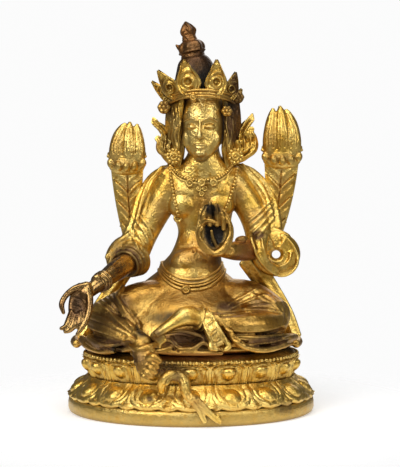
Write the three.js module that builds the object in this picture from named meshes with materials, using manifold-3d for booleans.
// A gilt bronze figure of a seated female bodhisattva on an oval double-lotus plinth.
// Millimetres, +Z up, the front towards -Y. The origin is the middle of the plinth's underside.
// Right and left are the figure's own, so her right side is -X.
// Two castings: the figure, and the plinth with the knotted stalk that climbs its front.

import * as THREE from "three";
import { mergeVertices } from "three/addons/utils/BufferGeometryUtils.js";
import Module from "manifold-3d";

const wasm = await Module();
wasm.setup();

// Driving dimensions.
const HEIGHT = 160; // floor to the topknot's tip
const PLINTH_WIDTH = 101; // over the foot band
const PLINTH_DEPTH = 78;
const PLINTH_HEIGHT = 26;
const PETALS = 18; // in each of the plinth's two rows
const SEAT_GAP = 0.3; // between the two castings
const MIDDLE = 4; // the figure sits this far to her left of the plinth's middle
const SPINE_DEPTH = 7; // and this far behind it
const LEAF_TIERS = 3; // pairs of leaves up each lotus stalk

// Heights of the body's landmarks above the floor.
const SEAT = PLINTH_HEIGHT + SEAT_GAP;
const BELT = 0.35 * HEIGHT;
const WAIST = 0.455 * HEIGHT;
const BREAST = 0.522 * HEIGHT;
const SHOULDER = 0.585 * HEIGHT;
const CHIN = 0.646 * HEIGHT;
const BROW = 0.74 * HEIGHT;
const CROWN = 0.8 * HEIGHT;

// Which way the flat of a flattened form faces.
const FRONT = new THREE.Vector3(0, -1, 0);
const ABOVE = new THREE.Vector3(0, 0, 1);

/** Makes a closed geometry a solid that can be joined and cut. */
function solidOf(geometry) {
  const bare = geometry.clone();
  bare.deleteAttribute("normal");
  bare.deleteAttribute("uv");
  const merged = mergeVertices(bare, 1e-4);
  const corners = merged.index.array;
  const triangles = [];
  for (let i = 0; i < corners.length; i += 3) {
    const [a, b, c] = [corners[i], corners[i + 1], corners[i + 2]];
    if (a !== b && b !== c && c !== a) triangles.push(a, b, c);
  }
  const vertProperties = new Float32Array(merged.attributes.position.array);
  const asSolid = (triVerts) =>
    new wasm.Manifold(new wasm.Mesh({ numProp: 3, vertProperties, triVerts: new Uint32Array(triVerts) }));
  const solid = asSolid(triangles);
  return solid.volume() > 0 ? solid : asSolid(triangles.reverse());
}

/** Joins a list of solids into one. */
const joined = (solids) => solids.reduce((whole, next) => whole.add(next));

/** Stretches a turned profile along a smooth line. Each station is [x, y, z, radius]. */
function limb(stations, { sides = 5, steps = 1, depth = 1, facing = FRONT, cap = 0.8 } = {}) {
  const line = new THREE.CatmullRomCurve3(stations.map(([x, y, z]) => new THREE.Vector3(x, y, z)));
  const girth = new THREE.SplineCurve(stations.map((station, i) => new THREE.Vector2(i, station[3])));
  const leastRadius = 0.15;
  const radiusAt = (share) => Math.max(girth.getPoint(share).y, leastRadius);
  const rings = steps * (stations.length - 1);
  const profile = [new THREE.Vector2(0, -cap)];
  for (let i = 0; i <= rings; i++) profile.push(new THREE.Vector2(radiusAt(i / rings), i / rings));
  profile.push(new THREE.Vector2(0, 1 + cap));

  const turned = new THREE.LatheGeometry(profile, sides);
  const place = turned.attributes.position;
  for (let i = 0; i < place.count; i++) {
    const along = place.getY(i);
    const share = THREE.MathUtils.clamp(along, 0, 1);
    const tangent = line.getTangent(share);
    const across = new THREE.Vector3().crossVectors(tangent, facing).normalize();
    const outward = new THREE.Vector3().crossVectors(across, tangent);
    const point = line.getPoint(share);
    point.addScaledVector(tangent, (along - share) * radiusAt(share));
    point.addScaledVector(across, place.getX(i));
    point.addScaledVector(outward, place.getZ(i) * depth);
    place.setXYZ(i, point.x, point.y, point.z);
  }
  return solidOf(turned);
}

/** An ellipsoid at a place, with its three radii and a turn about X, Y and Z in degrees. */
function lump(centre, radii, { turn = [0, 0, 0], around = 8, down = 6 } = {}) {
  const ball = new THREE.SphereGeometry(1, around, down).rotateX(Math.PI / 2).scale(...radii);
  ball.rotateX(THREE.MathUtils.degToRad(turn[0]));
  ball.rotateY(THREE.MathUtils.degToRad(turn[1]));
  ball.rotateZ(THREE.MathUtils.degToRad(turn[2]));
  return solidOf(ball.translate(...centre));
}

/** A ring about the vertical: half widths in X and Y, tipped about X and Y in degrees. */
function ring(centre, [halfWidth, halfDepth], thickness, { tip = [0, 0], around = 14, sides = 4 } = {}) {
  const hoop = new THREE.TorusGeometry(halfWidth, thickness, sides, around);
  hoop.scale(1, halfDepth / halfWidth, 1);
  hoop.rotateX(THREE.MathUtils.degToRad(tip[0])).rotateY(THREE.MathUtils.degToRad(tip[1]));
  return solidOf(hoop.translate(...centre));
}

/** A stack of oval slices: each is [x, y, z, half width, half depth]. */
function loft(slices, { sides = 12, steps = 1 } = {}) {
  const last = slices.length - 1;
  const spline = (pick) => new THREE.SplineCurve(slices.map((slice, i) => new THREE.Vector2(i, pick(slice))));
  const [x, y, z, wide, deep] = [0, 1, 2, 3, 4].map((k) => spline((slice) => slice[k]));
  const profile = [new THREE.Vector2(0, 0)];
  for (let i = 0; i <= steps * last; i++) profile.push(new THREE.Vector2(1, i / (steps * last)));
  profile.push(new THREE.Vector2(0, 1));
  const turned = new THREE.LatheGeometry(profile, sides);
  const place = turned.attributes.position;
  for (let i = 0; i < place.count; i++) {
    const share = place.getY(i);
    const at = (curve) => curve.getPoint(share).y;
    place.setXYZ(i, at(x) + place.getX(i) * at(wide), at(y) + place.getZ(i) * at(deep), at(z));
  }
  return solidOf(turned);
}

/** Waist, chest and shoulders, with the breasts and the round belly. */
function torso() {
  const trunk = loft([
    [MIDDLE - 3.6, SPINE_DEPTH - 3, BELT - 9, 16, 14],
    [MIDDLE - 3.8, SPINE_DEPTH - 3, BELT + 0.5, 13.6, 12.2],
    [MIDDLE - 1.4, SPINE_DEPTH - 2, BELT + 8.5, 10.4, 9.6],
    [MIDDLE + 1.1, SPINE_DEPTH, WAIST, 10.7, 7.6],
    [MIDDLE + 0.8, SPINE_DEPTH, BREAST - 4, 12.4, 8.6],
    [MIDDLE + 0.3, SPINE_DEPTH, BREAST + 3, 14.4, 8.6],
    [MIDDLE, SPINE_DEPTH, SHOULDER, 17, 8.6],
    [MIDDLE, SPINE_DEPTH, SHOULDER + 5, 14.6, 8.4],
    [MIDDLE, SPINE_DEPTH - 1, CHIN - 2, 10, 8],
  ], { sides: 10 });
  const breasts = [-1, 1].map((side) =>
    lump([MIDDLE + 0.6 + side * 8, SPINE_DEPTH - 7.4, BREAST], [5.2, 4.6, 5.4], { around: 7, down: 5 }),
  );
  const belly = lump([MIDDLE - 4.6, SPINE_DEPTH - 9.2, BELT + 4.6], [8.4, 5, 6.4], { down: 5 });
  return [trunk, ...breasts, belly];
}

/** The head with plain features, the hair over it and down her back, and the long ears. */
function head() {
  const faceFront = -6.7;
  const middle = MIDDLE + 1;
  const plait = [[MIDDLE, 13, BROW - 8, 8], [middle, 14.5, CHIN + 1, 5.4], [MIDDLE, 15, BREAST + 3, 4]];
  const feature = (points) => limb(points, { sides: 4, facing: ABOVE });
  const parts = [
    loft([
      [MIDDLE + 0.6, 6, CHIN - 9, 14, 8.6], [middle, 4.6, CHIN - 3, 10, 7.4], [middle, 3, CHIN + 3, 6.4, 6.4],
    ], { sides: 9 }),
    lump([MIDDLE + 0.4, 3, BROW + 1.5], [9.6, 10.8, 12], { around: 10, down: 6 }),
    lump([middle, -0.6, CHIN + 7.4], [7.8, 7.4, 7.8], { around: 8, down: 5 }),
    lump([MIDDLE, 8, BROW + 0.5], [13.4, 9.5, 15], { around: 8, down: 6 }),
    limb(plait, { depth: 0.6 }),
    limb([[MIDDLE, faceFront - 0.6, BROW, 0.8], [MIDDLE, faceFront - 2, BROW - 6.4, 1.6]], { sides: 5 }),
    feature([
      [MIDDLE - 2.4, faceFront, CHIN + 4.4, 0.7],
      [MIDDLE, faceFront - 0.9, CHIN + 4.3, 1],
      [MIDDLE + 2.4, faceFront, CHIN + 4.4, 0.7],
    ]),
  ];
  for (const side of [-1, 1]) {
    const x = (reach) => middle + side * reach;
    parts.push(
      feature([
        [x(1.6) - 1, -6.6, BROW - 2.6, 0.6],
        [x(4) - 1, -5.8, BROW - 2.4, 1.3],
        [x(6.4) - 1, -3.6, BROW - 2.4, 0.6],
      ]),
      limb([
        [x(12), 4, CROWN - 2, 2.8],
        [x(12.4), 4.5, BROW - 5, 2.8],
        [x(11.6), 3.5, CHIN + 1, 2.2],
        [x(12.6), 4, SHOULDER + 3, 3],
      ]),
      limb([[x(9.8), 2, BROW + 1, 1.8], [x(10.6), 1.6, CHIN + 7, 1.6], [x(11.4), 1, CHIN + 2, 1.3]]),
      lump([x(12), -0.4, CHIN + 0.4], [2.9, 2, 3.1], { around: 6, down: 4 }),
    );
  }
  return parts;
}

/** The diadem: an arched band with a jewel, six upright leaves and the rosettes over the ears. */
function crown() {
  const leaf = ([x, y, z], [tipX, tipY, tipZ], width) => {
    const rise = [tipX - x, tipY - y, tipZ - z];
    const at = (share, radius) => [x + rise[0] * share, y + rise[1] * share, z + rise[2] * share, radius];
    const stations = [at(0, 0.6 * width), at(0.36, width), at(0.68, 0.7 * width), at(1, 0.3)];
    return limb(stations, { sides: 4, depth: 0.35, cap: 0.4 });
  };
  const x = MIDDLE;
  return [
    ring([x, 3, CROWN - 0.6], [13.2, 13.6], 1.2, { tip: [-11, 0], sides: 3 }),
    leaf([x - 12, 3, CROWN - 1], [x - 20.6, 3, CROWN + 6.8], 3),
    leaf([x - 10.4, -4, CROWN], [x - 17.6, -6, CROWN + 10.8], 4.2),
    leaf([x - 4.6, -9.6, CROWN + 1], [x - 6.8, -12, CROWN + 14.4], 5.4),
    leaf([x + 6, -9, CROWN + 1], [x + 6.6, -11.4, CROWN + 14.6], 4.7),
    leaf([x + 11.6, -3.6, CROWN], [x + 14.6, -5, CROWN + 9.6], 3.8),
    leaf([x + 12.6, 3.4, CROWN - 2], [x + 16.6, 4, CROWN + 3.6], 2.6),
    lump([x - 3, -10.9, CROWN + 1], [1.4, 1.3, 2.2], { around: 5, down: 3 }),
    lump([x - 15.4, 1.6, CROWN - 4.2], [3.4, 3, 3.4], { around: 6, down: 4 }),
    lump([x + 14.6, 2.6, CROWN - 1.4], [3.2, 3, 4], { around: 6, down: 4 }),
  ];
}

/** The tall topknot, leaning to her right: a low dome, a bulb and a bud, each share of its height up. */
function topknot() {
  const [foot, top] = [CROWN - 2, HEIGHT - 0.4];
  const [footX, tipX, y] = [MIDDLE - 0.6, MIDDLE - 6.2, 4];
  const tiers = [
    [0, 11.4], [0.2, 10], [0.42, 7.8], [0.52, 6.4], [0.58, 4.4], [0.67, 5.6], [0.745, 3.6],
    [0.785, 2.9], [0.83, 2.5], [0.885, 3.3], [0.95, 2], [1, 0.4],
  ];
  const stations = tiers.map(([share, radius]) => {
    const lean = share ** 1.4;
    return [footX + (tipX - footX) * lean, y, foot + (top - foot) * share, radius];
  });
  return [limb(stations, { sides: 7, cap: 0.3 })];
}

/** The flame-like ribbon ends beside the ears. */
function ribbons() {
  const flame = (points) => limb(points, { depth: 0.4 });
  return [
    flame([[-7, 5, 103, 3], [-10.4, 5, 108, 3.2], [-10.6, 5, 113.4, 2.2], [-15.4, 5, 119.4, 0.7]]),
    flame([[-9, 5, 104, 2], [-12.8, 5, 107.4, 1.6], [-13.6, 5, 111.4, 0.6]]),
    flame([[17, 5, 104, 3], [21.6, 5, 107.4, 4], [21.6, 5, 113.4, 3], [25.4, 5, 121, 0.6]]),
    flame([[20, 5, 104, 2.4], [25.2, 5, 107.4, 2], [26.6, 5, 113.4, 0.7]]),
  ];
}

/** Her right arm, reaching out over the knee, and its open hand, seen from the palm. */
function rightArm() {
  const [elbow, wrist, palm] = [[-23, 1, 62.4], [-36.4, -22, 53.4], [-43.4, -27.6, 46.8]];
  const digits = [
    [[-38.6, -25, 52.6, 2], [-44.6, -27.6, 50.6, 1.6], [-49.4, -30, 46.6, 1.4], [-48.4, -30.6, 42.4, 0.8]],
    [[-45, -29, 43, 1.6], [-46.4, -30.5, 38.6, 1.3], [-49, -31.5, 36.4, 0.8]],
    [[-43, -30, 42, 1.5], [-44, -31.5, 38.4, 1.3], [-46.6, -32, 36, 0.8]],
    [[-40.4, -29.5, 42, 1.5], [-40.6, -31.5, 38, 1.3], [-42.6, -32, 35.4, 0.8]],
    [[-38.4, -25.6, 51, 1.8], [-37.2, -29, 44, 1.7], [-37.8, -31, 39, 1.4], [-41, -32, 34.8, 0.8]],
  ];
  const forearm = [[...elbow, 5], [-29, -10, 58.6, 4.9], [...wrist, 3.2], [-40.6, -25.6, 50, 2.8]];
  return [
    limb([[-7, 7, SHOULDER + 1, 7], [-13.8, 6.5, 83, 6.2], [-19, 4, 72, 5], [...elbow, 4.9]], { sides: 6 }),
    limb(forearm, { sides: 6, facing: ABOVE }),
    ring([-34.4, -19, 54.8], [4, 4], 0.9, { tip: [50, -55], around: 8, sides: 3 }),
    lump(palm, [4.4, 2, 6.4], { turn: [-20, 14, 0], around: 7, down: 5 }),
    ...digits.map((digit) => limb(digit, { sides: 4 })),
  ];
}

/** Her left arm, bent up before the breast, with the hand in the teaching gesture. */
function leftArm() {
  const [elbow, wrist] = [[28, 1, 66.4], [14.6, -17, 65.4]];
  const digits = [
    [[6.4, -19.6, 67, 1.8], [4, -21.4, 72, 1.6], [5, -22.6, 76.4, 1.3], [8.4, -23, 77.4, 0.9]],
    [[8.4, -18.6, 72.6, 1.5], [6.6, -19.6, 79.6, 1.4], [7.4, -19.6, 84, 0.9]],
    [[9.4, -18.6, 74, 1.5], [9.6, -19.5, 80.6, 1.4], [9.4, -19.2, 84.8, 0.9]],
    [[11.8, -19, 75, 1.5], [12.4, -20, 79.4, 1.4], [12, -20, 83, 0.9]],
    [[14, -18.5, 71, 1.6], [15.4, -19.6, 75.6, 1.3], [14.4, -20, 79.6, 0.9]],
  ];
  const forearm = [[...elbow, 5.4], [21, -9, 66, 4.8], [...wrist, 3], [11.4, -18, 67, 2.8]];
  return [
    limb([[16, 7, SHOULDER + 1, 7], [24, 6.5, 84, 6.2], [27.8, 4, 74, 5.8], [...elbow, 5.6]], { sides: 6 }),
    limb(forearm, { sides: 6, facing: ABOVE }),
    lump([10.4, -18, 70.4], [4.6, 2, 6.6], { turn: [0, 10, 0], around: 7, down: 5 }),
    ...digits.map((digit) => limb(digit, { sides: 4 })),
  ];
}

/** Her right leg: the knee out to the side, the shin across, the small foot down before the plinth. */
function rightLeg() {
  const [hip, knee, ankle] = [[-4, 3, 42], [-33.6, -12, 38.6], [-17.6, -33, 31.8]];
  const toes = [0, 1, 2, 3, 4].map((k) => [-18.2 + 1.6 * k, -39.8, 19 + 0.5 * k]);
  return [
    limb([[...hip, 12], [-20, -4, 42.6, 10.4], [...knee, 8.4]], { sides: 7, facing: ABOVE }),
    limb([[...knee, 8.4], [-29, -22, 36, 6.2], [...ankle, 3.8]], { sides: 7, facing: ABOVE }),
    limb([[...ankle, 3.4], [-14, -37.4, 28, 2.9], [-15, -38.6, 22.4, 2.6]], { sides: 6 }),
    ...toes.map((toe) => lump(toe, [1.1, 1.5, 2.4], { around: 4, down: 3 })),
  ];
}

/** Her left leg, folded flat on the seat, with the foot across the middle. */
function leftLeg() {
  const [hip, knee, ankle] = [[12, 3, 42], [32.4, -9, 38.8], [5.6, -26.4, 39.4]];
  return [
    limb([[...hip, 12], [23, -2, 42.6, 10.8], [...knee, 9]], { sides: 7, facing: ABOVE }),
    limb([[32, -14, 36.6, 7], [20, -23, 36, 5.8], [...ankle, 4]], { sides: 7, facing: ABOVE }),
    limb([[...ankle, 3.8], [-1.6, -28.6, 41.8, 3.8], [-9, -31, 38.4, 3], [-15.6, -32.4, 34.2, 1.3]], {
      sides: 7, facing: ABOVE,
    }),
  ];
}

/** The skirt: the lap from belt to knees, the cloth spread on the seat, its hems and folds. */
function skirt() {
  const lap = loft([
    [-0.6, 0, SEAT, 41, 28],
    [-0.6, 0, 36, 36, 24],
    [-0.4, 2, 44, 30, 20],
    [0.4, 4, 51, 22, 14],
    [1.6, 4, BELT + 2, 14.6, 10],
  ], { sides: 14 });
  const spread = loft([
    [-1.5, 0, SEAT, 43.6, 29.4],
    [-1.5, 0, SEAT + 1.8, 45.6, 31.2],
    [-1.5, 0, SEAT + 3.6, 40, 28],
  ], { sides: 20 });
  const fold = (points) => limb(points, { sides: 4 });
  const height = SEAT + 1.8;
  const frill = (x) => limb([[x, -6, height, 1.8], [1.02 * x, 0, height + 0.6, 2.4], [x, 6, height, 1.8]]);
  const bothEnds = [-47, 43.4].map(frill);
  const hem = [[-10, -31, 29, 1.4], [2, -32.4, 28.4, 1.5], [14, -31.4, 28.6, 1.4], [30, -24, 28.8, 1.4]];
  return [
    lap,
    spread,
    ...bothEnds,
    fold([[-25, -10, 52.6, 1], [-28, -17, 47, 1.4], [-22, -26, 38, 1.3], [-16, -30, 34, 1]]),
    fold([[19, -8, 49.6, 1], [27.6, -12, 46.4, 1.6], [34.6, -15.2, 42.2, 1.2]]),
    fold([[11, -27.6, 40.6, 1.2], [15.4, -30, 35, 1.6], [20.4, -30.6, 31, 1.5], [32, -26.6, 30.4, 1.2]]),
    limb([[6.8, -28.6, 42, 2.4], [8, -31, 37, 3], [11.4, -32.2, 31.2, 3.4]], { depth: 0.4 }),
    limb([[-33, -23, 28.6, 2], [-24, -29.6, 29.6, 2.6], [-15, -32, 30, 2]], { sides: 5, facing: ABOVE }),
    limb(hem, { sides: 5, facing: ABOVE }),
  ];
}

/** The wide belt that droops below the belly, its jewel, and the neck chain and long chains. */
function jewellery() {
  const bead = (x, y, z, radius) => lump([x, y, z], [radius, 0.8 * radius, radius], { around: 5, down: 4 });
  const chain = (points, radius) => {
    const stations = points.map((point) => [...point, radius]);
    return limb(stations, { sides: 3, facing: ABOVE });
  };
  const x = MIDDLE;
  return [
    ring([x - 3.6, SPINE_DEPTH - 3, BELT + 1.2], [13.8, 14], 2, { tip: [22, 0], sides: 5 }),
    bead(x - 5.8, -11.4, 50.4, 1.8),
    chain([
      [x - 10.6, 1, 101],
      [x - 6.6, -1.8, 96.6],
      [x + 0.6, -3, 92.6],
      [x + 7.6, -1.8, 96.6],
      [x + 10.4, 1, 101],
    ], 0.8),
    bead(x - 3.4, -2.8, 94.8, 1.5),
    bead(x + 0.6, -1.9, 91.4, 1.7),
    bead(x + 4.6, -2.8, 94.8, 1.5),
    chain([[x - 11, 0, 101], [x - 11.4, 1.2, 92], [x - 10, -3.4, 84.4], [x - 8.6, -3.4, 79.6]], 0.8),
    chain([[x + 12, 0, 101], [x + 12.2, 1.2, 92], [x + 11, -3.4, 84.4], [x + 9.4, -3.4, 80.4]], 0.8),
  ];
}

/** Tiers of paired leaves up a flat stalk, each pair a V, from its foot to a height and half width. */
function leafTiers([x, y, foot], top, half) {
  const tierHeight = (top - foot) / LEAF_TIERS;
  const stations = [];
  for (let tier = 0; tier < LEAF_TIERS; tier++) {
    const reach = half * Math.sqrt((tier + 1) / LEAF_TIERS);
    stations.push([0.72 * reach, foot + tierHeight * tier], [reach, foot + tierHeight * (tier + 0.86)]);
  }
  stations.push([0.9 * half, top]);
  const line = stations.map(([radius, z]) => new THREE.Vector2(radius, z));
  line.unshift(new THREE.Vector2(0, foot - 1));
  line.push(new THREE.Vector2(0, top));
  const turned = new THREE.LatheGeometry(line, 6);
  const place = turned.attributes.position;
  for (let i = 0; i < place.count; i++) {
    const across = place.getX(i);
    const rise = 0.5 * Math.abs(across) * THREE.MathUtils.clamp((top - place.getY(i)) / tierHeight, 0, 1);
    place.setXYZ(i, x + across, y + 0.3 * place.getZ(i), place.getY(i) + rise);
  }
  return solidOf(turned);
}

/** A lotus standing at the shoulder: the leafy stalk, a band of bosses and three closed petals. */
function lotus([x, y, foot], base, tip, half) {
  const parts = [leafTiers([x, y + 1, foot], base + 1, 0.96 * half)];
  const bossBand = [];
  for (let k = -4; k <= 4; k++) {
    const radius = k % 2 === 0 ? 2.1 : 1.2;
    bossBand.push([x + 0.23 * half * k, y - 1.8 + 0.1 * k * k, base + 1.4 + 0.09 * k * k, radius]);
  }
  parts.push(limb(bossBand, { facing: ABOVE }));
  for (const k of [-1, 0, 1]) {
    const height = tip - base - 1.2 * Math.abs(k);
    const lean = 0.6 * half * k;
    const petal = [
      [x + 0.9 * lean, y, base + 3, 0.38 * half],
      [x + lean, y - 0.4, base + 0.5 * height, 0.42 * half],
      [x + 0.76 * lean, y, base + 0.84 * height, 0.3 * half],
      [x + 0.62 * lean, y, base + height - 0.6, 0.08 * half],
    ];
    parts.push(limb(petal, { sides: 4, depth: 0.7 }));
  }
  return parts;
}

/** The scarf: over the shoulders, round the arms in folds and a loop, and down behind the knees. */
function scarf() {
  const band = (points, options = {}) => limb(points, { depth: 0.45, ...options });
  return [
    band([[-6, 8.5, 99, 3], [-14.6, 8.5, 95, 3.2], [-19.4, 7, 86, 3], [-22.4, 5, 76, 3], [-25.4, 3, 68, 4]]),
    band([[15, 8.5, 99, 3], [24, 8.5, 96.4, 3.6], [30.5, 7, 88, 4.2], [32.4, 5, 78, 5], [33, 4, 71, 5]]),
    band([[-15.4, 2, 73.4, 1.6], [-19.4, -1.4, 71.4, 2], [-23.6, 1, 73, 1.6]], { depth: 1, facing: ABOVE }),
    band([[23, -1, 70.4, 1.6], [27.6, -2.6, 73.4, 2], [31.6, 0, 77.6, 1.6]], { depth: 1, facing: ABOVE }),
    ring([-25, -4, 60.8], [6.4, 6], 2, { tip: [64, -52], around: 10 }),
    limb([
      [-23, 4, 68, 3.4], [-29.4, 1, 66.4, 3.6], [-33, -2, 62.8, 2.4], [-32.6, -4, 59.4, 1.4],
    ], { depth: 0.6 }),
    limb([
      [27, 2, 70, 3.2], [34, 2, 71.6, 3.4], [40.4, 1, 68.4, 3.8], [41.6, 0, 61.6, 3.8],
      [36.8, -1, 57.8, 3.6], [31.6, -2, 59.4, 3], [28, -3, 66, 2.2],
    ], { depth: 0.6 }),
    lump([38.4, 1, 66], [4.4, 1.6, 5], { around: 6, down: 4 }),
    band([[24, 4, 62, 5], [32, 6, 50, 4.4], [38.4, 5, 39, 4.4], [42.2, 2, 30.4, 3.6]]),
    band([[-26, 4, 58, 3], [-36, 5, 44, 3.4], [-43, 3, 33, 3], [-45.6, 2, 29.6, 1.8]]),
  ];
}

/**
 * The plinth: foot band, two rows of petals and the rim under the seat, as one oval turning.
 * Each ring is [inset between petals, height, how far the petal stands out, how far its middle drops].
 */
function plinthBody() {
  const rings = [
    [0.9, 0, 0, 0], [0, 3.4, 0, 0], [1.1, 6.8, 0, 0], [4.4, 9, 3.6, 1.4],
    [6.2, 11.6, 4.2, 0.6], [8, 14.2, 2.6, 0], [8.4, 15.8, 0.2, 0], [9, 18.6, 2.6, 0],
    [8.6, 21.4, 2.2, -0.4], [6, 23.4, 0, 0], [8.4, PLINTH_HEIGHT, 0, 0],
  ];
  const facets = 4; // across one petal
  const profile = rings.map((_, i) => new THREE.Vector2(1, i));
  profile.unshift(new THREE.Vector2(0, 0));
  profile.push(new THREE.Vector2(0, rings.length - 1));
  const turned = new THREE.LatheGeometry(profile, facets * PETALS);
  const place = turned.attributes.position;
  for (let i = 0; i < place.count; i++) {
    const [inset, height, standOut, drop] = rings[Math.round(place.getY(i))];
    const angle = Math.atan2(place.getX(i), place.getZ(i));
    const rounded = Math.sqrt(Math.abs(Math.sin((angle * PETALS) / 2)));
    const out = standOut * rounded - inset;
    const onAxis = Math.hypot(place.getX(i), place.getZ(i)) < 0.5;
    const [halfWidth, halfDepth] = onAxis ? [0, 0] : [PLINTH_WIDTH / 2 + out, PLINTH_DEPTH / 2 + out];
    place.setXYZ(i, halfWidth * Math.cos(angle), halfDepth * Math.sin(angle), height - drop * rounded);
  }
  return solidOf(turned);
}

/** The knotted stalk in front of the plinth: a curled bud by her foot, a knot and two ends. */
function stalk() {
  const stem = (points) => limb(points, { sides: 4 });
  return [
    stem([
      [-10.4, -36.6, 14.6, 1.6], [-8, -37, 19.4, 2], [-3.6, -36.6, 20, 2], [-1, -37, 15.6, 2],
      [1, -38, 10.4, 1.8],
    ]),
    stem([[0.4, -37.4, 11.6, 1.8], [4, -38.6, 7, 1.4], [6.6, -38.6, 3, 1.2]]),
    stem([[0.6, -37.2, 12.6, 1.8], [6.4, -38.4, 7.4, 1.5], [11, -38.4, 3.2, 1.3]]),
    lump([-1.6, -37.4, 13.4], [2.6, 1.8, 2.2], { around: 7, down: 4 }),
  ];
}

const lotusPlinth = () => joined([plinthBody(), ...stalk()]);

function figure() {
  return joined([
    ...torso(), ...head(), ...crown(), ...topknot(), ...ribbons(), ...rightArm(), ...leftArm(),
    ...rightLeg(), ...leftLeg(), ...skirt(), ...jewellery(), ...scarf(),
    ...lotus([-26.6, 6, 68], 99.4, 118.8, 7.8),
    ...lotus([37.6, 6, 69], 102, 125.4, 8.2),
  ]);
}

/** A named mesh in its own finish from a finished solid. */
function meshOf(name, solid, colour, roughness) {
  const made = solid.getMesh();
  const geometry = new THREE.BufferGeometry();
  geometry.setAttribute("position", new THREE.BufferAttribute(new Float32Array(made.vertProperties), 3));
  geometry.setIndex(new THREE.BufferAttribute(new Uint32Array(made.triVerts), 1));
  const material = new THREE.MeshStandardMaterial({ color: colour, roughness, metalness: 1 });
  const mesh = new THREE.Mesh(geometry, material);
  mesh.name = name;
  return mesh;
}

const statue = new THREE.Group();
statue.add(meshOf("figure", figure(), 0xc8952f, 0.32));
statue.add(meshOf("lotus_plinth", lotusPlinth(), 0xcfa23a, 0.36));

export default statue;
